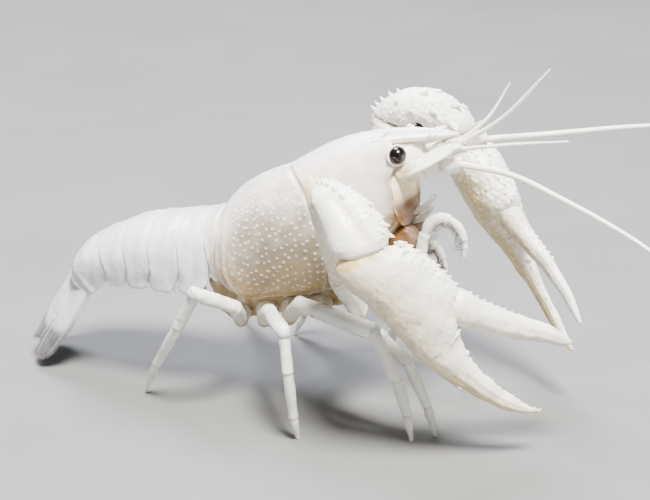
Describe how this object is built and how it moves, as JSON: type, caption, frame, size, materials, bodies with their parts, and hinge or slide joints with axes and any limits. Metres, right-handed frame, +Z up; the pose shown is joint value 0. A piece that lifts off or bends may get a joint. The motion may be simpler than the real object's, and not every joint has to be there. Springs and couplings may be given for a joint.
{
  "type": "crayfish display model",
  "caption": "Life-size still crayfish with arched carapace, beaked head, long feelers, heavy pincers hanging forward, walking legs on small flat feet and a half-closed tail fan.",
  "frame": {"origin": "centre of the bounding box's floor, at the level of the feet", "axes": "+X toward the head and the feelers' tips, +Y toward the animal's left, +Z up"},
  "size_m": [0.1514, 0.0998, 0.0649],
  "materials": {
    "body_shell": "satin shell with fine pale granules",
    "limb_shell": "satin warm white shell",
    "tail_shell": "smooth satin grey-white shell",
    "feeler": "slightly translucent white",
    "underside": "soft ochre skin",
    "jaw": "satin brown",
    "eye": "polished black"
  },
  "bodies": {
    "root": {"abdomen_1": "tail_shell", "abdomen_2": "tail_shell", "abdomen_3": "tail_shell", "abdomen_4": "tail_shell", "abdomen_5": "tail_shell", "abdomen_6": "tail_shell", "antenna_left_base": "feeler", "antenna_left_inner": "feeler", "antenna_left_outer": "feeler", "antenna_right_base": "feeler", "antenna_right_inner": "feeler", "antenna_right_outer": "feeler", "antennule_left": "feeler", "antennule_right": "feeler", "breast_plate": "underside", "carapace": "body_shell", "claw_left_base": "limb_shell", "claw_left_finger": "limb_shell", "claw_left_palm": "limb_shell", "claw_left_upper_arm": "limb_shell", "claw_left_wrist": "limb_shell", "claw_right_base": "limb_shell", "claw_right_finger": "limb_shell", "claw_right_palm": "limb_shell", "claw_right_upper_arm": "limb_shell", "claw_right_wrist": "limb_shell", "eye_left": "eye", "eye_right": "eye", "eyestalk_left": "body_shell", "eyestalk_right": "body_shell", "head_front": "body_shell", "leg_2_left_lower": "limb_shell", "leg_2_left_upper": "limb_shell", "leg_2_right_lower": "limb_shell", "leg_2_right_upper": "limb_shell", "leg_3_left_lower": "limb_shell", "leg_3_left_upper": "limb_shell", "leg_3_right_lower": "limb_shell", "leg_3_right_upper": "limb_shell", "leg_4_left_lower": "limb_shell", "leg_4_left_upper": "limb_shell", "leg_4_right_lower": "limb_shell", "leg_4_right_upper": "limb_shell", "leg_5_left_lower": "limb_shell", "leg_5_left_upper": "limb_shell", "leg_5_right_lower": "limb_shell", "leg_5_right_upper": "limb_shell", "mandible_left": "jaw", "mandible_right": "jaw", "maxilliped_left": "limb_shell", "maxilliped_right": "limb_shell", "telson": "tail_shell", "uropod_left_inner": "tail_shell", "uropod_left_outer": "tail_shell", "uropod_right_inner": "tail_shell", "uropod_right_outer": "tail_shell"}
  },
  "joints": []
}
